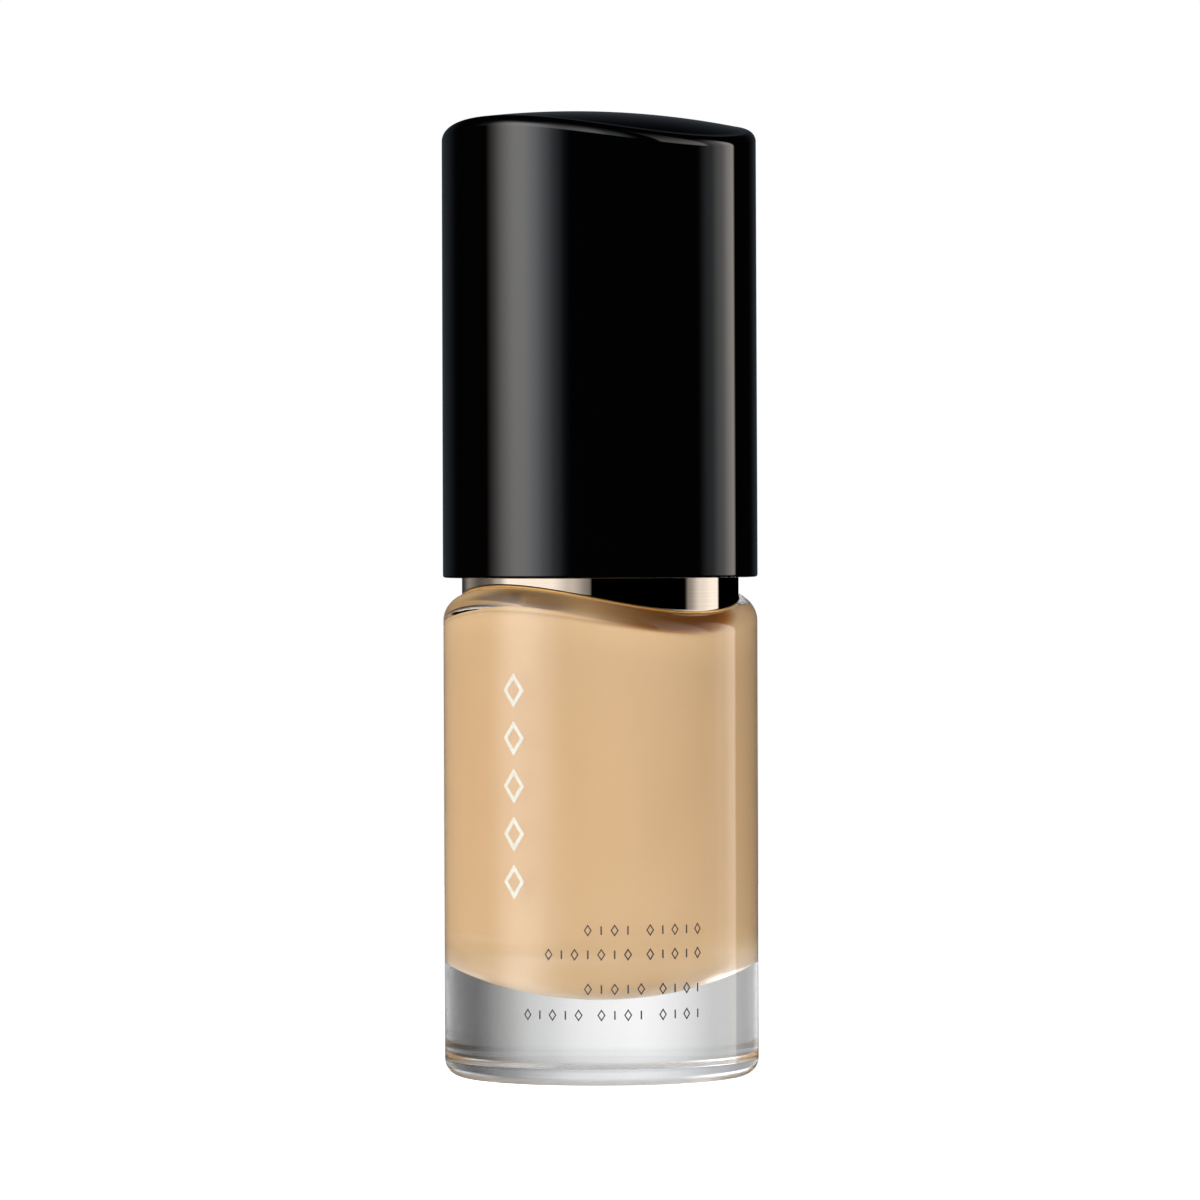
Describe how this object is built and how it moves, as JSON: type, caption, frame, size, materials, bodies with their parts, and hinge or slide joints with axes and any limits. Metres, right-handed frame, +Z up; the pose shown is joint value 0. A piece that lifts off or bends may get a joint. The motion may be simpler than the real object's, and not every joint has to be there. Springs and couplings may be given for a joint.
{
  "type": "foundation bottle",
  "caption": "Clear glass bottle of liquid foundation with a gold collar, a push-down pump that turns, and a tall glossy black pull-off cap.",
  "frame": {"origin": "on the bottle's axis, in the plane of the ring that it stands on", "axes": "+Z up along the axis; -Y is the printed front; +X is the user's right and the way the nozzle points"},
  "size_m": [0.037, 0.037, 0.1134],
  "materials": {
    "clear_glass": "clear thick-walled glass, polished",
    "foundation": "opaque beige cream liquid, glossy where it meets the glass",
    "seal_rubber": "soft matt",
    "white_plastic": "natural white polypropylene, satin",
    "tube_plastic": "translucent white polyethylene",
    "spring_steel": "bright stainless wire and ball",
    "piston_plastic": "ivory polyethylene",
    "dark_plastic": "black moulded plastic, satin",
    "gold_aluminium": "champagne gold anodised, mirror polished",
    "label_film": "white film, satin",
    "black_gloss": "black lacquer, high gloss",
    "weight_steel": "plain zinc-plated"
  },
  "bodies": {
    "bottle": {"glass_bottle": "clear_glass", "foundation_liquid": "foundation", "neck_gasket": "seal_rubber", "pump_housing": "white_plastic", "dip_tube": "tube_plastic", "return_spring": "spring_steel", "stem_guide": "white_plastic", "snap_closure": "white_plastic", "collar_core": "dark_plastic", "collar_sleeve": "gold_aluminium", "base_label": "label_film"},
    "inlet_ball": {"inlet_ball": "spring_steel"},
    "piston": {"piston": "piston_plastic"},
    "pump_head": {"pump_stem": "white_plastic", "head_core": "dark_plastic", "head_shell": "black_gloss", "nozzle_tip": "black_gloss"},
    "cap": {"cap_shell": "black_gloss", "cap_liner": "dark_plastic", "cap_weight": "weight_steel"}
  },
  "joints": [
    {"name": "cap_lift", "type": "slide", "parent": "bottle", "child": "cap", "axis": [0, 0, 1], "range_m": [0, 0.045]},
    {"name": "pump_stroke", "type": "slide", "parent": "bottle", "child": "piston", "axis": [0, 0, 1], "range_m": [-0.004, 0], "stiffness_N_per_m": 1500, "springref_m": 0.003, "deforming": ["return_spring"]},
    {"name": "head_turn", "type": "hinge", "parent": "piston", "child": "pump_head", "pos_m": [0, 0, 0.0875], "axis": [0, 0, 1], "continuous": true},
    {"name": "ball_lift", "type": "slide", "parent": "bottle", "child": "inlet_ball", "axis": [0, 0, 1], "range_m": [0, 0.0011]}
  ]
}
